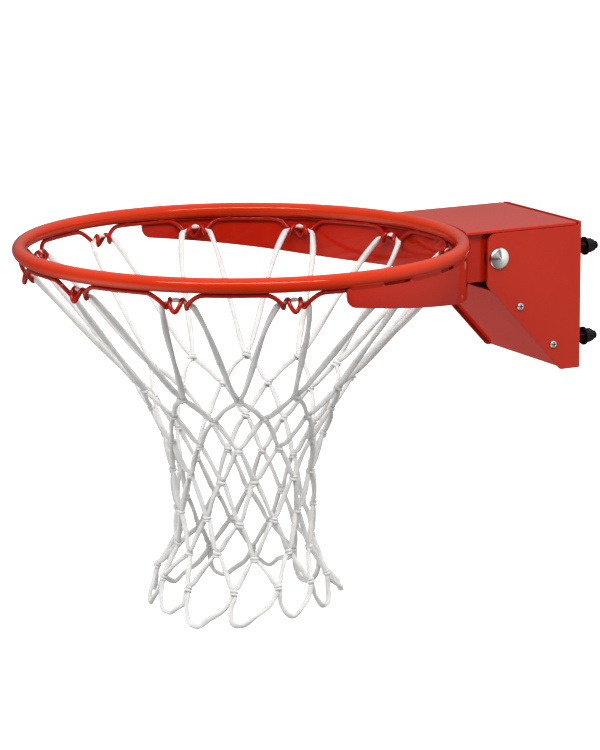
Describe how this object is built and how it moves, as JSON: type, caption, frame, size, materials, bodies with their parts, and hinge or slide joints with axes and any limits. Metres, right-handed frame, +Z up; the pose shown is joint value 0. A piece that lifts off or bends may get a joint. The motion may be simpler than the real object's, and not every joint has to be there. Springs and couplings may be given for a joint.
{
  "type": "basketball goal",
  "caption": "Round basketball rim with a cord net on ram's-horn hooks, on a sprung breakaway arm in a wall housing that bolts through a backboard.",
  "frame": {"origin": "centre of the mounting plate's back face, which lies on the backboard", "axes": "+Y out of the plate's back face into the backboard, so the ring reaches out along -Y; +Z up; +X to the right seen from the court"},
  "size_m": [0.489, 0.6539, 0.3999],
  "materials": {
    "orange_powder_coat": "gloss powder coat",
    "turned_steel": "turned",
    "zinc_plate": "bright zinc plate",
    "black_oxide": "black oxide",
    "black_rubber": "matte",
    "black_nylon": "satin",
    "white_cord": "braided cord"
  },
  "bodies": {
    "housing": {"mount_bracket": "orange_powder_coat", "lower_cover": "orange_powder_coat", "spring_seat": "orange_powder_coat", "cover_screw_1": "zinc_plate", "cover_screw_2": "zinc_plate", "cover_screw_3": "zinc_plate", "cover_screw_4": "zinc_plate", "pivot_bolt": "turned_steel", "pivot_sleeve": "zinc_plate", "pivot_washer": "zinc_plate", "pivot_nut": "black_oxide", "rest_pad_left": "black_rubber", "rest_pad_right": "black_rubber", "carriage_bolt_1": "black_oxide", "carriage_bolt_2": "black_oxide", "carriage_bolt_3": "black_oxide", "carriage_bolt_4": "black_oxide", "washer_1": "black_oxide", "washer_2": "black_oxide", "washer_3": "black_oxide", "washer_4": "black_oxide", "lock_nut_1": "black_oxide", "lock_nut_2": "black_oxide", "lock_nut_3": "black_oxide", "lock_nut_4": "black_oxide", "spring": "zinc_plate"},
    "rim": {"rim_ring": "orange_powder_coat", "brace_band": "orange_powder_coat", "arm_channel": "orange_powder_coat", "net_wire": "orange_powder_coat", "bushing_left": "black_nylon", "bushing_right": "black_nylon", "lever_pin": "turned_steel", "pin_spacer_left": "black_nylon", "pin_spacer_right": "black_nylon", "net_upper": "white_cord"},
    "draw": {"draw_bolt": "turned_steel", "spring_washer": "zinc_plate", "spring_nut": "black_oxide", "jam_nut": "black_oxide"},
    "net": {"net_lower": "white_cord"}
  },
  "joints": [
    {"name": "breakaway", "type": "hinge", "parent": "housing", "child": "rim", "pos_m": [0, -0.108, 0.05], "axis": [1, 0, 0], "range_deg": [0, 25], "stiffness_Nm_per_rad": 530, "springref_deg": -11.46, "deforming": ["spring"]},
    {"name": "draw_bolt_swivel", "type": "hinge", "parent": "rim", "child": "draw", "pos_m": [0, -0.032, 0.0332], "axis": [1, 0, 0], "range_deg": [-25, 0]},
    {"name": "net_hang", "type": "hinge", "parent": "rim", "child": "net", "pos_m": [0, -0.381, 0.016], "axis": [1, 0, 0], "range_deg": [-25, 0]}
  ],
  "couplings": [
    {"joint": "draw_bolt_swivel", "follows": "breakaway", "ratio": -1},
    {"joint": "net_hang", "follows": "breakaway", "ratio": -1}
  ]
}
